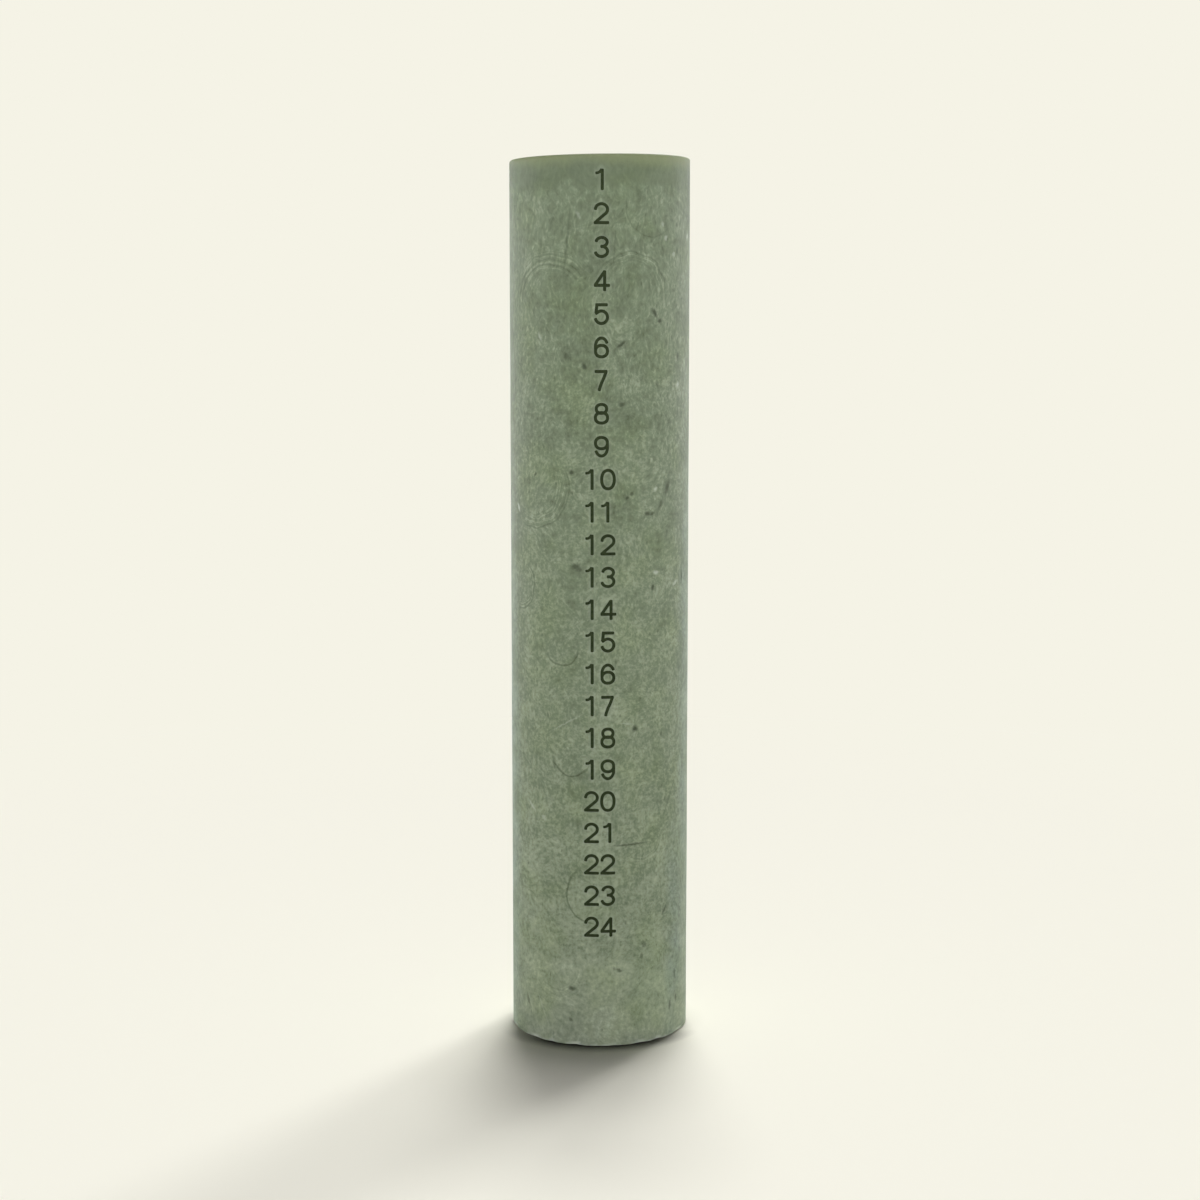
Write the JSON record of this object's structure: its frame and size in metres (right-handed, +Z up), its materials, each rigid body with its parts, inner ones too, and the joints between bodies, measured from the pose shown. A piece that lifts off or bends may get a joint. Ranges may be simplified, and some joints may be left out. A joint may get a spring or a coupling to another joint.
{
  "type": "calendar candle",
  "caption": "Tall straight wax pillar candle with day numerals printed down one side, a wick and a metal wick clip in the base.",
  "frame": {"origin": "centre of the flat base, on the surface that the candle stands on", "axes": "+Z up along the candle's axis; -Y towards the numerals; +X to the right of someone who reads them"},
  "size_m": [0.051, 0.051, 0.2516],
  "materials": {
    "wax": "satin",
    "waxed_cotton": "matte",
    "tinned_steel": "satin",
    "numeral_ink": "matte"
  },
  "bodies": {
    "candle": {"wax_body": "wax", "wick": "waxed_cotton", "wick_clip": "tinned_steel", "numeral_01": "numeral_ink", "numeral_02": "numeral_ink", "numeral_03": "numeral_ink", "numeral_04": "numeral_ink", "numeral_05": "numeral_ink", "numeral_06": "numeral_ink", "numeral_07": "numeral_ink", "numeral_08": "numeral_ink", "numeral_09": "numeral_ink", "numeral_10": "numeral_ink", "numeral_11": "numeral_ink", "numeral_12": "numeral_ink", "numeral_13": "numeral_ink", "numeral_14": "numeral_ink", "numeral_15": "numeral_ink", "numeral_16": "numeral_ink", "numeral_17": "numeral_ink", "numeral_18": "numeral_ink", "numeral_19": "numeral_ink", "numeral_20": "numeral_ink", "numeral_21": "numeral_ink", "numeral_22": "numeral_ink", "numeral_23": "numeral_ink", "numeral_24": "numeral_ink"},
    "wick_end": {"wick_tip": "waxed_cotton"}
  },
  "joints": [
    {"name": "wick_raise", "type": "hinge", "parent": "candle", "child": "wick_end", "pos_m": [0, 0, 0.2506], "axis": [1, 0, 0], "range_deg": [0, 90]}
  ]
}
